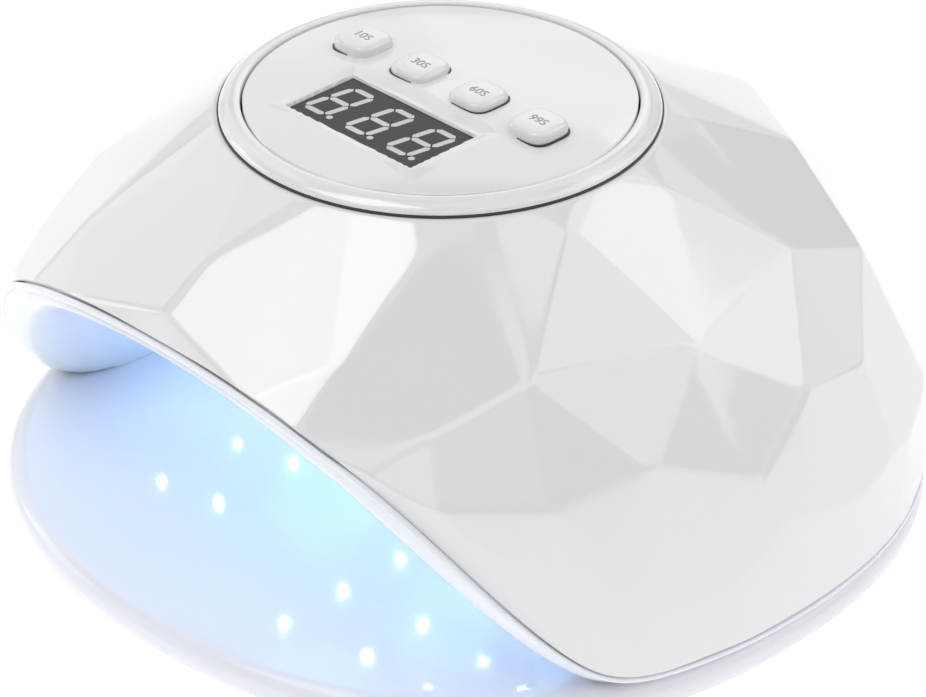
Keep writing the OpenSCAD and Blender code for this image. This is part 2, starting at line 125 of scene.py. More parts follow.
class Wire:
    """An output socket that can be used in arithmetic; each operator adds one Math node."""

    def __init__(self, finish, socket):
        self.finish, self.socket = finish, socket

    def _math(self, kind, a, b):
        return self.finish.node("Math", {"operation": kind}, {0: a, 1: b})

    def __add__(self, other):
        return self._math("ADD", self, other)

    def __radd__(self, other):
        return self._math("ADD", other, self)

    def __sub__(self, other):
        return self._math("SUBTRACT", self, other)

    def __rsub__(self, other):
        return self._math("SUBTRACT", other, self)

    def __mul__(self, other):
        return self._math("MULTIPLY", self, other)

    def __rmul__(self, other):
        return self._math("MULTIPLY", other, self)

    def __gt__(self, other):
        return self._math("GREATER_THAN", self, other)


class Finish:
    """A material under construction, with its Principled shader ready."""

    def __init__(self, name):
        self.material = bpy.data.materials.new(name)
        self.material.use_nodes = True
        self.tree = self.material.node_tree
        self.shader = self.tree.nodes["Principled BSDF"]
        self.place = self.node("TexCoord", output="Object")

    def node(self, kind, settings=None, inputs=None, output=0):
        """Any node: its settings first, then the values or wires of its sockets."""
        made = self.tree.nodes.new("ShaderNode" + kind)
        for key, value in (settings or {}).items():
            setattr(made, key, value)
        for key, value in (inputs or {}).items():
            self.join(made.inputs[key], value)
        return Wire(self, made.outputs[output])

    def join(self, socket, value):
        """Links a wire to a socket, or sets a plain value on it."""
        if isinstance(value, Wire):
            self.tree.links.new(value.socket, socket)
        else:
            socket.default_value = value

    def noise(self, scale, detail=2.0, stretch=None):
        """Noise in object space, drawn out along the axes by a stretch."""
        where = self.place
        if stretch:
            where = self.node("Mapping", inputs={"Vector": where, "Scale": stretch})
        return self.node("TexNoise", inputs={"Vector": where, "Scale": scale, "Detail": detail})

    def blend(self, amount, a, b):
        """Colour between a and b."""
        return self.node("Mix", {"data_type": "RGBA"}, {0: amount, 6: a, 7: b}, output=2)

    def bump(self, height, strength, distance):
        """Normal tilted by the slope of a height, which is worth distance metres."""
        return self.node("Bump", inputs={"Height": height, "Strength": strength, "Distance": distance})

    def done(self, **sockets):
        """Joins the shader's sockets, whose names have _ for a space."""
        for key, value in sockets.items():
            self.join(self.shader.inputs[key.replace("_", " ")], value)
        return self.material


print("shader helpers ready")

# %% [markdown]
# ## Gloss plastics
# Injection-moulded gloss plastic is never a perfect mirror: the steel mould leaves a faint
# orange-peel swell a few millimetres across, handling adds patches of haze, and the colour
# drifts by a shade where the wall is thicker. All three come from noise in object space.

# %% Gloss plastic


def shade(colour, factor=1.0):
    """The colour times a factor, with full alpha."""
    return tuple(min(1.0, c * factor) for c in colour) + (1.0,)


def gloss_plastic(name, colour, haze=0.06, peel=0.25, ior=1.5):
    """Drifting tint, roughness of haze plus smudges plus specks, and an orange-peel bump."""
    f = Finish(name)
    swell = f.noise(90, 1.0)
    drift = f.noise(14, 2.0)
    smudge = f.noise(38, 4.0)
    speck = f.noise(1500, 0.0)
    tint = f.blend(drift, shade(colour, 0.975), shade(colour, 1.02))
    rough = haze + 0.07 * (smudge - 0.35) * (smudge > 0.35) + 0.03 * speck
    skin = f.bump(swell + 0.03 * speck, peel, 0.00025)
    return f.done(Base_Color=tint, Roughness=rough, Normal=skin, IOR=ior)


finishes = {
    "gloss_white": gloss_plastic("gloss_white", (0.8, 0.8, 0.81), haze=0.04, peel=0.12, ior=1.9),
    "panel_white": gloss_plastic("panel_white", (0.78, 0.78, 0.79), haze=0.05, peel=0.12, ior=1.7),
    "liner_white": gloss_plastic("liner_white", (0.86, 0.88, 0.93), haze=0.16, peel=0.15),
    "tray_white": gloss_plastic("tray_white", (0.84, 0.85, 0.89), haze=0.05, peel=0.12),
}
print("gloss finishes:", list(finishes))

# %% [markdown]
# ## Dark, metal and board finishes
# The display's face is dark epoxy with a fine grain; its unlit segments are milky and slightly
# uneven. Boards carry copper tracks under their lacquer, screws are turned steel with drag
# marks, and rubber has a dusty grain. Small parts are seen from close by, so each gets its own.

# %% Matt plastics, rubber and metals


def matt_plastic(name, colour, rough=0.45, grain=900):
    """A wide drift of the tint under a fine grain that moves roughness and bump together."""
    f = Finish(name)
    fine, wide = f.noise(grain, 3.0), f.noise(40, 2.0)
    tint = f.blend(wide, shade(colour, 0.82), shade(colour, 1.18))
    return f.done(Base_Color=tint, Roughness=rough + 0.12 * (fine - 0.5), Normal=f.bump(fine, 0.3, 0.0002))


def rubber(name, colour):
    """Dust lightens and roughens the rubber; pores give its bump."""
    f = Finish(name)
    dust, pores = f.noise(160, 4.0), f.noise(2200, 2.0)
    tint = f.blend(dust, shade(colour, 0.8), shade(colour, 1.6))
    return f.done(Base_Color=tint, Roughness=0.72 + 0.15 * (dust - 0.5), Normal=f.bump(pores, 0.6, 0.0003))


def metal(name, colour, rough=0.25, stretch=(1, 1, 30)):
    """Drag marks are noise stretched along one axis; patina shifts the tint."""
    f = Finish(name)
    drag, patina = f.noise(400, 3.0, stretch), f.noise(120, 3.0)
    tint = f.blend(patina, shade(colour, 0.85), shade(colour, 1.1))
    return f.done(Base_Color=tint, Metallic=1.0, Roughness=rough + 0.15 * (drag - 0.4),
                  Normal=f.bump(drag, 0.25, 0.0002))


def circuit_board(name, lacquer, copper):
    """Lacquer over copper tracks: the tracks are the edges between brick cells."""
    f = Finish(name)
    tracks = f.node("TexBrick", {"offset": 0.35}, {"Vector": f.place, "Scale": 120.0, "Mortar Size": 0.06,
                    "Color1": shade(lacquer), "Color2": shade(lacquer, 0.9), "Mortar": shade(copper)})
    weave = f.noise(1400, 1.0)
    return f.done(Base_Color=tracks, Roughness=0.32 + 0.1 * (weave - 0.5), Normal=f.bump(weave, 0.3, 0.0002))


finishes.update({
    "display_black": matt_plastic("display_black", (0.012, 0.0125, 0.014), 0.38, 1800),
    "display_segment": matt_plastic("display_segment", (0.6, 0.61, 0.6), 0.35, 1200),
    "part_black": matt_plastic("part_black", (0.03, 0.03, 0.033), 0.4),
    "header_ivory": matt_plastic("header_ivory", (0.74, 0.67, 0.5), 0.5),
    "lead_red": matt_plastic("lead_red", (0.32, 0.03, 0.03), 0.45),
    "rubber_grey": rubber("rubber_grey", (0.07, 0.07, 0.075)),
    "steel": metal("steel", (0.56, 0.56, 0.58)),
    "magnet_nickel": metal("magnet_nickel", (0.66, 0.64, 0.61), 0.14, (1, 1, 1)),
    "copper_coil": metal("copper_coil", (0.6, 0.28, 0.12), 0.3, (1, 1, 60)),
    "board_alu": circuit_board("board_alu", (0.78, 0.79, 0.8), (0.6, 0.58, 0.5)),
    "board_green": circuit_board("board_green", (0.02, 0.14, 0.06), (0.06, 0.3, 0.12)),
    "mark_grey": matt_plastic("mark_grey", (0.33, 0.34, 0.36), 0.5, 2500),
})

# %% [markdown]
# ## Glowing lenses
# Each light is a clear epoxy lens over a chip. Clear glass would need many light paths to look
# lit, so the lens itself glows softly, mottled by noise, and a small core in its tip glows many
# times brighter. The core is what shows as a point of light in the glossy tray.

# %% Lens finish
lens_finish = Finish("lens_clear")
mottle = lens_finish.noise(700, 2.0)
glow = lens_finish.blend(mottle, (0.45, 0.62, 1.0, 1), (0.75, 0.88, 1.0, 1))
finishes["lens_clear"] = lens_finish.done(
    Base_Color=glow, Roughness=0.12 + 0.05 * mottle, Emission_Color=glow, Emission_Strength=1.6)
core = Finish("glow_core")
flicker = core.noise(900, 2.0)
finishes["glow_core"] = core.done(Base_Color=(0.9, 0.95, 1, 1), Roughness=0.2 + 0.05 * flicker,
                                  Emission_Color=core.blend(flicker, (0.6, 0.78, 1, 1), (0.85, 0.93, 1, 1)),
                                  Emission_Strength=60.0)
print("finishes:", len(finishes))

# %% [markdown]
# ## Dressing the engineering nodes
# Boards, chips, screws, magnets and feet already have their true shapes, so they keep their
# meshes and only receive the finish that the parts list names.

# %% Finishes on the engineering nodes
for part in frame["record"]["subparts"]:
    skin = frame["nodes"][part["node"]].data.materials
    skin.clear()
    skin.append(finishes[part["material_slot"]])

# %% [markdown]
# ## From a grid of points to a mesh
# Every new piece is a surface over two parameters. One function turns grids of points into a
# mesh with shared corners, closes poles by merging, and makes sure that faces look outwards.

# %% Grid to mesh


def piece(name, grids, slot, body, finish=None, crease=32):
    """One object from grids of points (rows, columns, 3) in millimetres: neighbours become quads."""
    corners, faces, start = [], [], 0
    for grid in grids:
        rows, cols = grid.shape[:2]
        index = start + np.arange(rows * cols).reshape(rows, cols)
        quads = [index[:-1, :-1], index[:-1, 1:], index[1:, 1:], index[1:, :-1]]
        faces.append(np.stack(quads, -1).reshape(-1, 4))
        corners.append(grid.reshape(-1, 3))
        start += rows * cols
    mesh = bpy.data.meshes.new(name)
    mesh.from_pydata((np.concatenate(corners) * MM).tolist(), [], np.concatenate(faces).tolist())
    work = bmesh.new()
    work.from_mesh(mesh)
    bmesh.ops.remove_doubles(work, verts=work.verts, dist=2e-6)
    bmesh.ops.holes_fill(work, edges=[e for e in work.edges if e.is_boundary])
    bmesh.ops.recalc_face_normals(work, faces=work.faces)
    if work.calc_volume(signed=True) < 0:
        bmesh.ops.reverse_faces(work, faces=work.faces)
    open_edges = sum(1 for e in work.edges if not e.is_manifold)
    work.to_mesh(mesh)
    work.free()
    mesh.shade_smooth()
    mesh.set_sharp_from_angle(angle=np.radians(crease))
    mesh.materials.append(finish or finishes[slot])
    obj = placed(name, mesh)
    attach(obj, body)
    print(f"{name}: {len(mesh.polygons)} faces, {open_edges} open edges")
    return obj


def turned(profile, centre=(0, 0, 0), steps=160):
    """Surface of revolution: (radius, height) rows carried round the z axis at a centre."""
    profile = np.asarray(profile, float)
    turn = np.linspace(0, 2 * np.pi, steps + 1)
    x = profile[:, :1] * np.cos(turn)
    y = profile[:, :1] * np.sin(turn)
    z = np.repeat(profile[:, 1:], len(turn), 1)
    return np.stack([x, y, z], -1) + np.asarray(centre, float)


def arc(centre, radius, start, end, steps=9):
    """Points of a circular or elliptical arc, angles in degrees."""
    a = np.radians(np.linspace(start, end, steps))
    across, up = np.broadcast_to(radius, 2)
    return np.stack([centre[0] + across * np.cos(a), centre[1] + up * np.sin(a)], -1)


# %% [markdown]
# ## The base tray
# The tray is a shallow hollow moulding whose outline is a superellipse, squarer than an ellipse
# and softer than a rectangle. A profile of margins and heights is carried round that outline.

# %% Tray surface
BASE_W, BASE_D, SQUARE = 204.0, 200.0, 2.25
PANEL_Y, CROWN, EDGE_Z = -7.5, 97.0, 10.0


def plan(margin, turn):
    """Superellipse |x/a|^n + |y/b|^n = 1, drawn in by a margin that may be an array."""
    c, s = np.cos(turn), np.sin(turn)
    return np.stack([(BASE_W / 2 - margin) * np.sign(c) * abs(c) ** (2 / SQUARE),
                     (BASE_D / 2 - margin) * np.sign(s) * abs(s) ** (2 / SQUARE)], -1)


TRAY_TOP = 8.0
tray_profile = np.concatenate([
    [(60, TRAY_TOP), (20, TRAY_TOP), (9, TRAY_TOP)],
    arc((4.6, 4.2), (-4.4, 3.8), 90, 0, 12),
    arc((1.6, 4.2), (-1.4, -3.2), 0, 90, 8)[1:],
    [(4.2, 1.0)],
    arc((4.0, 4.8), (0.8, 0.8), 0, 90, 4),
    [(60, 5.6)]])
turn = np.linspace(0, 2 * np.pi, 289)
xy = plan(tray_profile[:, :1], turn)
tray = np.concatenate([xy, np.broadcast_to(tray_profile[:, 1:, None], xy.shape[:2] + (1,))], -1)
centre_top, centre_under = tray[:1] * (0, 0, 1), tray[-1:] * (0, 0, 1)
tray = np.concatenate([centre_top, tray, centre_under])


def bar(x0, x1, y0, y1, z0, z1, spin=0.0, soft=0.3):
    """A straight rib with chamfered lower edges: a box section carried from end to end."""
    half, mid = (y1 - y0) / 2, (y0 + y1) / 2
    section = np.array([(mid - half, z0 + soft), (mid - half + soft, z0), (mid + half - soft, z0),
                        (mid + half, z0 + soft), (mid + half, z1), (mid - half, z1), (mid - half, z0 + soft)])
    ends = np.array([x0, x0, x1, x1], float)
    shrink = np.array([0, 1, 1, 0], float)[:, None]
    y = mid + (section[:, 0] - mid) * shrink
    z = (z0 + z1) / 2 + (section[:, 1] - (z0 + z1) / 2) * shrink
    c, s = np.cos(spin), np.sin(spin)
    x = np.repeat(ends[:, None], len(section), 1)
    return np.stack([c * x - s * y, s * x + c * y, z], -1)


feet = [(62, -60), (-62, -60), (40, 78), (-40, 78)]
magnets = [(87, -27), (-87, -27), (20, 84), (-20, 84)]
ribs = [bar(-80, 80, -0.8, 0.8, 3.4, 5.7, np.radians(a)) for a in (0, 60, 120)]
collar = [(0, 2.6), (6.4, 2.6), (6.5, 2.5), (6.5, 1.2), (6.7, 1.0),
          (8.3, 1.0), (8.5, 1.2), (8.5, 5.7), (0, 5.7)]
cup = [(0, 6.75), (4.1, 6.75), (4.1, 1.8), (4.3, 1.6), (5.2, 1.6),
       (5.4, 1.8), (5.4, 5.9), (5.4, 6.9), (0, 6.9)]
bosses = [turned(collar, (x, y, 0), 48) for x, y in feet] + [turned(cup, (x, y, 0), 40) for x, y in magnets]
tray_piece = piece("base_tray_skin", [tray] + ribs + bosses, "tray_white", "base")
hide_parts("base_tray")

# %% [markdown]
# ## The dome's facets
# The cover is a cut gem: a convex body whose flat facets meet at a few dozen corners, above a
# smooth skirt. Its surface is found by sending a ray from the inside through every direction
# and asking which facet plane it meets first. A p-norm with a high p in place of the plain
# minimum rounds each ridge a little, as a mould maker's polish does.

# %% Corners and facet planes
HEART = np.array([0.0, -3.0, 30.0])


def corner(rows):
    """Corners given as angle from the front, height and reach from the leaning centre line."""
    a, z, r = np.asarray(rows, float).T
    a = np.radians(a)
    lean = PANEL_Y * (z - EDGE_Z) / (CROWN - EDGE_Z)
    right = np.stack([r * np.sin(a), lean - r * np.cos(a), z], -1)
    return np.concatenate([right, right * (-1, 1, 1)])


gem = corner([
    (16, 95.5, 52), (45, 95, 53), (74, 94, 54.5), (104, 94, 54.5), (135, 95, 53.5), (165, 95, 53),
    (0, 88, 67.5), (0, 79, 82), (30, 79.5, 79.5), (58, 75, 80), (87, 72.5, 79), (117, 75.5, 78.5),
    (148, 79, 79), (171, 77, 84.5), (26, 72.5, 88.8), (43, 68, 90), (72, 56, 92.5), (101, 56, 92),
    (131, 65, 91), (160, 62, 94.5), (43, 56, 99.5), (57.5, 53.5, 97.5), (87, 46, 96.6),
    (114, 52, 95.5), (150, 46, 101.5), (171, 50, 101)])
# The hem is the row of lowest corners, where the facets die out into the skirt. Each has a twin
# at the floor, so that the facets below it stand upright.
hem_tops = [(40, 20, 107), (66, 24, 105), (92, 24, 105), (112, 28, 105),
            (128, 33, 105.5), (148, 30, 106), (168, 30, 105.5)]
hem = corner([(a, z, r) for a, top, r in hem_tops for z in (0, top)])


def ring_at(margin, z, steps=300):
    """The base outline drawn in by a margin, at a height."""
    xy = plan(margin, np.linspace(0, 2 * np.pi, steps, endpoint=False))
    return np.concatenate([xy, np.full((steps, 1), float(z))], -1)


ARCH_HALF, ARCH_Y, ARCH_RISE = 92.5, -91.3, 64


def swept_back(v):
    """How far back the arch stands: least at the top, v = 0, and more towards a foot, v = 1."""
    return ARCH_Y + 38 * v ** 3.7 + 6 * v ** 20


def arch(u):
    """Arched edge of the opening, u from -1 at the left foot to 1 at the right foot."""
    v = abs(u)
    return np.stack([ARCH_HALF * u, swept_back(v), EDGE_Z + ARCH_RISE * (1 - v ** 3.3)], -1)


def hull_planes(points):
    """Planes (normal, offset) of the convex hull of a cloud of points, seen from the heart."""
    work = bmesh.new()
    for point in points:
        work.verts.new(point)
    bmesh.ops.convex_hull(work, input=work.verts)
    work.normal_update()
    found = np.array([[*f.normal, f.normal.dot(f.verts[0].co)] for f in work.faces if f.calc_area() > 0.005])
    work.free()
    found[(found[:, :3] @ HEART) > found[:, 3]] *= -1
    found = np.unique(np.round(found, 3), axis=0)
    nearest_allowed = 5
    return found[found[:, 3] - found[:, :3] @ HEART > nearest_allowed]


t = np.linspace(0, 2 * np.pi, 144, endpoint=False)
crown = np.stack([49.5 * np.cos(t), PANEL_Y + 49.5 * np.sin(t), np.full(144, CROWN)], -1)
arch_u = np.array([0.1, 0.3, 0.45, 0.6, 0.72, 0.84, 0.94])
facets = hull_planes(np.concatenate([gem, hem, crown, arch(arch_u), arch(-arch_u)]))
skirt_rings = ((0, 9), (0, 12), (0.3, 21), (0.9, 30))
skirt = hull_planes(np.concatenate([ring_at(margin, z) for margin, z in skirt_rings]))
upright = skirt[:, 2] < 0.6
planes = np.concatenate([facets, skirt[upright]])
print("facet planes:", len(planes))

# %% Reach of the dome in any direction


def reach(rays, sharp=1000.0):
    """Points where rays from the heart meet the cover.

    One over the distance is the p-norm, p = sharp, of one over the distances to all planes.
    """
    rays = rays / np.linalg.norm(rays, axis=-1, keepdims=True)
    painted_shadow = planes[:, 3] - planes[:, :3] @ HEART
    out = np.empty(rays.shape[:-1])
    for row in range(len(rays)):
        near = np.maximum(rays[row] @ planes[:, :3].T / painted_shadow, 1e-9)
        best = near.max(-1, keepdims=True)
        out[row] = 1 / (best[:, 0] * ((near / best) ** sharp).sum(-1) ** (1 / sharp))
    return HEART + rays * out[..., None]


print("top of the dome:", reach(np.array([[[0.0, 0.0, 1.0]]]))[0, 0].round(1))

# %% [markdown]
# ## The cover's edge
# The lower edge runs up one side of the arch, down the other and round the base. It is one
# closed path: it is laid out, spaced evenly, and then smoothed by a short running average,
# which turns the hard corner at each foot into a soft one.

# %% Edge path


def evenly(path, count):
    """The closed path with its points spaced evenly."""
    loop = np.concatenate([path, path[:1]])
    along = np.concatenate([[0], np.cumsum(np.linalg.norm(np.diff(loop, axis=0), axis=1))])
    want = np.linspace(0, along[-1], count, endpoint=False)
    return np.stack([np.interp(want, along, loop[:, k]) for k in range(3)], -1)


def softened(path, width):
    """Running average of a closed path with a bell-shaped weight; width in points."""
    n = len(path)
    lag = np.minimum(np.arange(n), n - np.arange(n))
    bell = np.exp(-0.5 * (lag / width) ** 2)
    spectrum = np.fft.rfft(bell / bell.sum())[:, None]
    return np.fft.irfft(np.fft.rfft(path, axis=0) * spectrum, n, axis=0)


COLUMNS = 560
foot = arch(np.array(1.0))
foot_turn = np.arctan2(foot[1] / (BASE_D / 2), foot[0] / (BASE_W / 2))
round_back = np.linspace(foot_turn, np.pi - foot_turn, 400)[1:-1]
base_path = np.concatenate([plan(0, round_back), np.full((len(round_back), 1), EDGE_Z)], -1)
edge = evenly(np.concatenate([arch(np.linspace(-1, 1, 400)), base_path]), COLUMNS)
# Near each foot the path is softened more, so that the hard corner becomes a broad curve.
FOOT_REACH = 34
to_foot = np.minimum(*(np.linalg.norm(edge - foot * (side, 1, 1), axis=1) for side in (-1, 1)))
near_foot = np.exp(-(to_foot / FOOT_REACH) ** 4)[:, None]
edge = softened((1 - near_foot) * softened(edge, 2.5) + near_foot * softened(edge, 8.5), 3.0)
edge = np.concatenate([edge, edge[:1]])
print("edge path:", round(float(np.linalg.norm(np.diff(edge, axis=0), axis=1).sum()), 1), "mm long")

# %% [markdown]
# ## The cover
# Each column of the cover climbs from the edge path to the ring of the panel. Near the edge the
# wall rolls over a small radius and turns inwards, so the rim has a real thickness.

# %% Cover surface


def unit(v):
    """The vector divided by its length."""
    return v / np.linalg.norm(v, axis=-1, keepdims=True)


low = unit(edge - HEART)
azimuth = np.arctan2(edge[:, 1] - HEART[1], edge[:, 0] - HEART[0])
top_ring = np.stack([47.0 * np.cos(azimuth), PANEL_Y + 47.0 * np.sin(azimuth), np.full(len(edge), 99.0)], -1)
high = unit(top_ring - HEART)
climb = np.linspace(0, 1, 150)[:, None, None] ** 1.05
rays = unit(low * (1 - climb) + high * climb)
outer = reach(rays)
outer[0] = reach(low[None])[0]
down = unit(outer[0] - outer[2])
along = unit(np.roll(outer[0][:-1], -1, 0) - np.roll(outer[0][:-1], 1, 0))
along = np.concatenate([along, along[:1]])
out_dir = unit(np.cross(down, along))
out_dir *= np.sign((out_dir * (outer[0] - HEART)).sum(-1, keepdims=True))
calmed = [unit(softened(v[:-1], 3.0)) for v in (down, out_dir)]
down, out_dir = (np.concatenate([v, v[:1]]) for v in calmed)
ROLL = 0.8
bend = np.radians(np.linspace(90, 0, 6))[1:, None, None]
start = outer[0] - down * ROLL
lip = start - out_dir * ROLL + ROLL * (out_dir * np.sin(bend) + down * np.cos(bend))
flat = lip[-1:] - out_dir * 1.8
outer = np.concatenate([outer[1:][::-1], lip, flat])
INNER_WALL = 0.972
inner = (HEART + (outer[:140] - HEART) * INNER_WALL)[::10][::-1]
cover = np.concatenate([outer, inner, outer[:1]])
cover_piece = piece("cover_skin", [cover], "gloss_white", "housing", crease=40)
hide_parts("upper_shell")

# %% [markdown]
# ## Louvres and inlet at the back
# Two groups of five slots let the warm air out, and the low-voltage inlet sits between them.
# In a real cover they are cut through the wall. Here each slot is a black inlay with half-round
# ends that follows the wall, painted shade for the dark inside of the slot, and the inlet is a
# turned collar, a dark cup and a contact pin, because cutting so fine a grid leaves ragged edges.

# %% Louvres and inlet


def on_back(x, z, lift):
    """Points at given x and z of the back wall, carried along their rays to the cover and lifted."""
    hit = reach(np.stack([x, np.full(np.shape(x), 100.0), z], -1) - HEART)
    return hit + unit(hit - HEART) * np.asarray(lift)[..., None]


def slot_shadow_patch(x, width, low, high):
    """Rings from the middle out to a pill outline, then under the surface, where they close."""
    a = np.linspace(0, 2 * np.pi, 37)
    rings = [(0, 0.07), (0.6, 0.07), (0.92, 0.06), (1, 0.0), (1, -0.5), (0, -0.5)]
    size, lift = np.array(rings).T[:, :, None]
    rise = (high - low - width) / 2 * np.sign(np.round(np.sin(a), 6))
    return on_back(x + size * width / 2 * np.cos(a), (low + high) / 2 + size * (width / 2 * np.sin(a) + rise),
                   lift + 0 * a)


FIRST_SLOT, SLOT_PITCH, SLOT_WIDTH = 24, 5, 2.2
slot_places = [side * (FIRST_SLOT + SLOT_PITCH * i) for side in (-1, 1) for i in range(5)]
# The black pills are painted shade: each stands for the shadowed inside of a slot that is not cut.
slots = [slot_shadow_patch(x, SLOT_WIDTH, 16, 28) for x in slot_places]
piece("louvre_slot_shadows", slots, "part_black", "housing")
INLET_Z, INLET_LOW = 24, 17.5
to_back = np.array([[1, 0, 0], [0, 0, 1], [0, -1, 0]], float)
none = np.zeros((1, 1))
wall_y = float(on_back(none, none + INLET_LOW, none)[0, 0, 1])
flange = [(0, -2.4), (6.6, -2.4), (6.6, -0.1), (6.4, 0.12),
          (5.8, 0.2), (5.5, 0.14), (5.35, -0.1), (0, -0.1)]
pin = [(0, -0.3), (1.0, -0.3), (1.0, 0.0), (0.75, 0.2), (0, 0.25)]
dark = [(0, -0.2), (5.2, -0.2), (5.2, 0.02), (0, 0.02)]
for name, profile, slot_name in (("inlet_flange", flange, "gloss_white"), ("inlet_cup", dark, "part_black"),
                                 ("inlet_pin", pin, "steel")):
    piece(name, [turned(profile, steps=64) @ to_back.T + (0, wall_y, INLET_Z)], slot_name, "housing")

# %% [markdown]
# ## The lip below the cover
# A thin shadow line parts the cover from the liner's lip, which follows the same path. The lip
# is a rounded strip: its section is given along the outward and the downward direction.

# %% Lip
section = np.array([(-0.35, 0.45), (-0.15, 0.7), (-0.1, 1.1), (-0.3, 1.6), (-0.8, 1.9), (-1.6, 1.95),
                    (-4.2, 1.95), (-4.2, 0.45), (-0.35, 0.45)])
base_edge = softened(edge[:-1], 1.2)
base_edge = np.concatenate([base_edge, base_edge[:1]])
strip = base_edge + section[:, :1, None] * out_dir + section[:, 1:, None] * down
# A soft maximum keeps the lip above the tray: (h + sqrt(h^2 + c)) / 2 never falls below zero.
LOWEST = TRAY_TOP + 0.05
sink = strip[..., 2] - LOWEST
strip[..., 2] = LOWEST + 0.5 * (sink + np.sqrt(sink ** 2 + 0.06))
# Behind the lip a flat frame closes the underside, from one foot round the back to the other.
on_base = np.flatnonzero(base_edge[:-1, 2] < 10.4)
on_base = on_base[np.argsort((on_base - base_edge[:-1, 2].argmax()) % COLUMNS)]
rim_xy = base_edge[on_base, :2] - 3.4 * out_dir[on_base, :2]
plate = np.stack([np.concatenate([rim_xy * k, np.full((len(rim_xy), 1), z)], -1)
                  for k, z in ((1, 9.5), (1, 8.06), (0.9, 8.06), (0.9, 9.5), (1, 9.5))])
lip_piece = piece("lower_lip", [strip, plate], "liner_white", "housing", crease=60)
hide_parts("bottom_frame")

# %% [markdown]
# ## The liner of the hand bay
# The liner is a white vault that starts at the lip, rolls in over a broad soft mouth and closes
# with a flat rear wall. Its rows are arches of one formula that shrinks with depth, and the
# first rows are averaged so that the mouth has no crease.

# %% Liner surface
BAY, ROOF, REAR = 78.0, 66.0, 72.0
MOUTH_HALF, MOUTH_RISE = 84.5, 62.8


def mouth(u):
    """Inner edge of the rim: the arch drawn in, lower and flatter, from foot to foot."""
    v = abs(u)
    return np.stack([MOUTH_HALF * u, swept_back(v) + 0.6, TRAY_TOP + MOUTH_RISE * (1 - v ** 2.95)], -1)


def narrowing(t):
    """Full width to t = 0.62, then a superellipse that leaves about 3/4 at the rear wall."""
    return np.where(t < 0.62, 1.0, (1 - (np.maximum(t - 0.62, 0) / 0.5) ** 2.4) ** 0.4)


def bay(u, t, wall=0.0):
    """Point of the bay: u across the arch, t from 0 at the mouth to 1 at the rear wall."""
    s, flare = narrowing(t), 4 * np.maximum(0, 1 - t / 0.15) ** 2
    arched = 1 - abs(u) ** 2.9
    return np.stack([(BAY + flare + wall) * s * u, (1 - t) * (mouth(u)[..., 1] + 2) + t * (REAR + wall),
                     TRAY_TOP + ((ROOF - TRAY_TOP) * (0.35 + 0.65 * s) + 0.7 * flare + wall) * arched], -1)


u = np.sin(np.linspace(-np.pi / 2, np.pi / 2, 145)) * 0.35 + np.linspace(-1, 1, 145) * 0.65
nearest = np.linalg.norm(edge[None] - arch(u)[:, None], axis=-1).argmin(1)
first = strip[5][nearest]
k = np.linspace(0, 1, 9)[:, None, None]
peak = 0.5 * (first + mouth(u)) + np.array([0, -1.6, -1.4])
rim = (1 - k) ** 2 * first + 2 * k * (1 - k) * peak + k ** 2 * mouth(u)
depth = np.linspace(0, 1, 64)[1:, None] ** 1.2
inside = bay(u[None, :], np.broadcast_to(depth, (63, len(u))))
shrink = np.linspace(1, 0, 14)[1:, None, None]
pole = np.array([0, REAR, TRAY_TOP])
rear = pole + (inside[-1] - pole) * shrink
face = np.concatenate([rim, inside])
smooth = face.copy()
for _ in range(10):
    smooth[1:16] = 0.25 * smooth[:15] + 0.5 * smooth[1:16] + 0.25 * smooth[2:17]
face = np.concatenate([smooth, rear])
face[..., 2] = np.maximum(face[..., 2], TRAY_TOP + 0.02)
WALL = 2.2
outside = bay(u[None, :], np.broadcast_to(depth[4::6], (10, len(u))), WALL)
behind = np.concatenate([first[None] + (0, WALL, 1.0), outside])
back_pole = np.array([0, REAR + WALL, TRAY_TOP])
behind_rear = back_pole + (bay(u, np.ones_like(u), WALL) - back_pole) * np.linspace(1, 0, 5)[:, None, None]
liner = np.concatenate([behind[:1], face, behind_rear[::-1], behind[::-1]])
liner[..., 2] = np.maximum(liner[..., 2], TRAY_TOP + 0.02)
liner_piece = piece("liner_skin", [liner], "liner_white", "housing", crease=50)
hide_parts("inner_liner")

# %% [markdown]
# ## The lights
# Every light is the same three small turned shapes: a lens, a bright core in its tip and a white
# collar round it. Each shape is made once as a grid and laid on each seat by a rotation and a
# shift of the whole array.

# %% Lights


def seat(grid, place, tilt, side):
    """Turns a grid about y by the tilt, mirrored for the left side, and moves it to its place."""
    a = np.radians(-side * tilt)
    spin = np.array([[np.cos(a), 0, np.sin(a)], [0, 1, 0], [-np.sin(a), 0, np.cos(a)]])
    return grid @ spin.T + np.asarray(place, float)


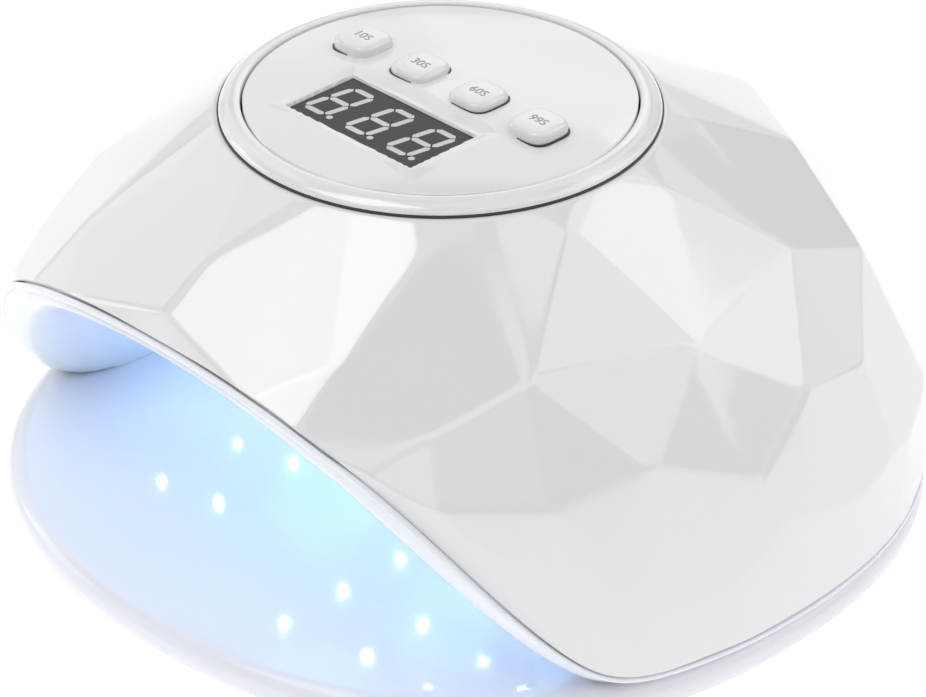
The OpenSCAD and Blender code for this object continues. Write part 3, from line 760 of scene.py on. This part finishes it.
lens_profile = np.concatenate([[(0, -1.2), (2.5, -1.2), (2.5, 0.9)], arc((0, 0.9), (2.5, 1.6), 0, 90, 7)])
collar_profile = [(2.4, -1.4), (3.6, -1.4), (3.6, 0.15), (3.3, 0.45), (2.75, 0.55), (2.55, 0.3), (2.4, -1.4)]
core_profile = np.concatenate([[(0, 2.1), (1.1, 2.1)], arc((0, 2.2), (1.1, 0.45), 0, 90, 5)])
lens_shape, collar_shape = turned(lens_profile, steps=24), turned(collar_profile, steps=28)
core_shape = turned(core_profile, steps=16)
glowing = finishes["glow_core"]
rows = {
    "lights": [((64.3, 33), (-38.5, -14.5, 9.5, 33.5), 126), ((58, 41.5), (-26.5, -2.5, 21.5), 126)],
    "roof_lights": [((30.5, 62.4), (-30, -11, 8, 27), 170), ((10.5, 65.8), (-22, -4, 14, 32), 170)],
}
for kind, lines in rows.items():
    for word, side in (("left", -1), ("right", 1)):
        seats = [((side * x, y, z), tilt) for (x, z), ys, tilt in lines for y in ys]
        lenses, cores, collars = ([seat(shape, p, tilt, side) for p, tilt in seats]
                                  for shape in (lens_shape, core_shape, collar_shape))
        lamp = piece(f"{word}_{kind}_lenses", lenses, "lens_clear", "housing")
        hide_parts(f"{word}_{kind}")
        piece(f"{word}_{kind}_cores", cores, "lens_clear", "housing", glowing)
        piece(f"{word}_{kind}_collars", collars, "liner_white", "housing")
facing = np.array([[1, 0, 0], [0, 0, -1], [0, 1, 0]], float)
spots = [(-40, -5), (-24, 1), (-8, 4), (8, 4), (24, 1), (40, -5)]
rear_seats = [np.array([x, REAR, 33.0 + z]) for x, z in spots]
rear_lamp = piece("rear_lenses", [lens_shape @ facing.T + p for p in rear_seats], "lens_clear", "housing")
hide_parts("rear_lights")
piece("rear_cores", [core_shape @ facing.T + p for p in rear_seats], "lens_clear", "housing", glowing)
piece("rear_collars", [collar_shape @ facing.T + p for p in rear_seats], "liner_white", "housing")

# %% [markdown]
# ## Blue light inside the bay
# The small cores do not light the tray evenly, so five weak blue point lights stand in the bay.
# They ride with the housing.

# %% Blue light inside the bay
CURING_BLUE = (0.07, 0.43, 1.0)
bulbs = (("bay_front", (0, -48, 55), 0.010), ("bay_middle", (0, -8, 58), 0.012),
         ("bay_left", (-44, -5, 46), 0.008), ("bay_right", (44, -5, 46), 0.008),
         ("bay_rear", (0, 34, 52), 0.010))
for name, place, watts in bulbs:
    data = bpy.data.lights.new(name, "POINT")
    data.energy, data.color, data.shadow_soft_size = watts, CURING_BLUE, 0.012
    bulb = placed(name, data)
    bulb.location = Vector(place) * MM
    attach(bulb, "housing")
print("bay lights:", len(bulbs))

# %% [markdown]
# ## Bezel ring and control panel
# The ring is turned from one profile. The panel is a domed disc with a sunk display window. A
# square grid is bent onto the disc, so its middle is as fine as its edge, and the window is
# pressed into the height of that grid with soft slopes.

# %% Bezel ring
ring_profile = [(43.45, 93), (43.45, 99.4), (43.55, 99.68), (43.9, 99.85), (44.6, 99.88), (45.4, 99.75),
                (46.2, 99.5), (47.0, 99.12), (47.6, 98.72), (48.0, 98.32), (48.22, 97.95), (48.25, 97.6),
                (48.05, 97.42), (46.8, 97.4), (45.0, 93), (43.45, 93)]
bezel = piece("bezel_ring_skin", [turned(ring_profile, (0, PANEL_Y, 0), 256)], "gloss_white", "housing")
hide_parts("bezel_ring")
# The thin black ring under the bezel's outer edge is painted shadow: it darkens the gap between ring and
# cover, where shade falls.
bezel_shadow_profile = [(46.5, 96.9), (48.55, 96.9), (48.6, 97.5), (46.5, 97.7), (46.5, 96.9)]
piece("bezel_painted_shadow", [turned(bezel_shadow_profile, (0, PANEL_Y, 0), 200)], "part_black", "housing")

# %% Control panel
PANEL_R, PANEL_TOP, DISPLAY_Y = 43.0, 101.7, PANEL_Y - 17.7


def panel_height(x, y):
    """Dome of the panel, less the display window's sunk floor and its sloping walls."""
    r2 = (x ** 2 + (y - PANEL_Y) ** 2) / PANEL_R ** 2
    dome = PANEL_TOP - 2.2 * r2
    dx = abs(x) - 19.4
    ridge = 1.2 * np.exp(-((x + 4) / 9) ** 2) + 0.9 * np.exp(-((x - 17) / 6) ** 2)
    front, back = -(y - DISPLAY_Y) - 10, (y - DISPLAY_Y) - 10 - ridge
    slope = np.clip(np.maximum(np.maximum(dx / 3.6, front / 2.6), back / 3.4), 0, 1)
    floor = 100.6 - 1.6 * np.clip(-1.6 * np.maximum(np.maximum(dx, front), (y - DISPLAY_Y) - 9.8), 0, 1)
    return floor + (dome - floor) * (slope * slope * (3 - 2 * slope)) ** 0.8


g = np.linspace(-1, 1, 231)
gx, gy = np.meshgrid(g, g, indexing="ij")
px = PANEL_R * gx * np.sqrt(1 - gy ** 2 / 2)
py = PANEL_Y + PANEL_R * gy * np.sqrt(1 - gx ** 2 / 2)
panel_face = np.stack([px, py, panel_height(px, py)], -1)
EDGE_DROP = 0.25
panel_face[[0, -1], :, 2] -= EDGE_DROP
panel_face[:, [0, -1], 2] -= EDGE_DROP
border = np.concatenate([panel_face[0], panel_face[1:, -1],
                         panel_face[-1, :-1][::-1], panel_face[:-1, 0][::-1]])
centre, under_z = np.array([0, PANEL_Y, 0]), np.array([0, 0, 97.6])
drawn_in = (border - centre) * (0.95, 0.95, 0) + centre + under_z
wall = np.stack([border, border * (1, 1, 0) + under_z, drawn_in])
under = np.stack([wall[-1], centre + under_z + 0 * wall[-1]])
panel = piece("control_panel_skin", [panel_face, wall, under], "panel_white", "housing", crease=25)
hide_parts("control_panel")

# %% [markdown]
# ## Buttons
# The four keys are squircles: their outline is a superellipse of a high power, and their rim is
# a quarter round. Only the seconds are printed on them, as thin raised ink.

# %% Buttons
PITCH, KEY_Y, KEY_TOP = 18.1, PANEL_Y + 2.7, 103.4


def squircle(half, turn, power=3.6):
    """Superellipse with equal half widths: radius half * (|cos|^n + |sin|^n) ^ (-1 / n)."""
    c, s = np.cos(turn), np.sin(turn)
    r = (abs(c) ** power + abs(s) ** power) ** (-1 / power)
    return half * np.stack([r * c, r * s], -1)


def key_cap(x, rows):
    """Rows of (half width, height) carried round the squircle at a key's place."""
    turn = np.linspace(0, 2 * np.pi, 97)
    rows = np.asarray(rows, float)
    xy = squircle(rows[:, :1, None], turn[None])
    z = np.broadcast_to(rows[:, 1:, None], xy.shape[:2] + (1,))
    return np.concatenate([xy, z], -1) + (x, KEY_Y, 0)


def label(word, x, size, body):
    """Printed digits: the built-in font made into a thin solid and laid on the key."""
    curve = bpy.data.curves.new("ink_" + word, "FONT")
    curve.body, curve.size, curve.extrude = word, size * MM, 0.02 * MM
    curve.align_x, curve.align_y = "CENTER", "CENTER"
    text = placed("ink_source", curve)
    bpy.context.view_layer.update()
    mesh = bpy.data.meshes.new_from_object(text)
    bpy.data.objects.remove(text)
    mesh.transform(Matrix.Translation(Vector((x, KEY_Y, KEY_TOP + 0.03)) * MM))
    mesh.materials.clear()
    mesh.materials.append(finishes["mark_grey"])
    mesh.name = "ink_" + word
    obj = placed("ink_" + word, mesh)
    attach(obj, body)


key_rows = np.concatenate([[(0, KEY_TOP), (2.5, KEY_TOP - 0.02)],
                           arc((4.3, KEY_TOP - 1.2), (1.2, 1.15), 90, 0, 8),
                           [(5.5, 99.5), (0, 99.5)]])
# The thin black ring round each key is painted shade: it darkens the gap between key and panel, where shade
# falls.
key_shadow_rows = [(5.5, 101.0), (5.85, 101.0), (5.85, 101.72), (5.5, 101.72), (5.5, 101.0)]
for i, word in enumerate(("10s", "30s", "60s", "99s")):
    x = PITCH * (i - 1.5)
    key = piece(f"key_{word}_cap", [key_cap(x, key_rows)], "panel_white", f"key_{word}")
    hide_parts(f"button_{word}")
    z = float(panel_height(np.array(x), np.array(KEY_Y))) - PANEL_TOP + 0.03
    piece(f"key_{word}_gap", [key_cap(x, key_shadow_rows) + (0, 0, z)], "part_black", "housing")
    label(word.upper(), x, 3.3, f"key_{word}")

# %% [markdown]
# ## Closing
# A large pale floor closes the scene: it is evenly bright, with a faint wash of tone.

# %% Floor
f = Finish("studio_floor")
wash = f.noise(3.0, 2.0)
floor_tint = f.blend(wash, (0.9, 0.9, 0.91, 1), (0.93, 0.93, 0.94, 1))
floor_finish = f.done(Base_Color=floor_tint, Roughness=0.6 + 0.1 * wash,
                      Emission_Color=(1, 1, 1, 1), Emission_Strength=0.38)
span = np.linspace(-4000, 4000, 9)
floor_x, floor_y = np.meshgrid(span, span, indexing="ij")
floor_points = np.stack([floor_x, floor_y, 0 * floor_x - 0.05], -1).reshape(-1, 3) * MM
index = np.arange(81).reshape(9, 9)
quads = np.stack([index[:-1, :-1], index[1:, :-1], index[1:, 1:], index[:-1, 1:]], -1).reshape(-1, 4)
mesh = bpy.data.meshes.new("studio_floor")
mesh.from_pydata(floor_points.tolist(), [], quads.tolist())
mesh.materials.append(floor_finish)
placed("studio_floor", mesh)

import json
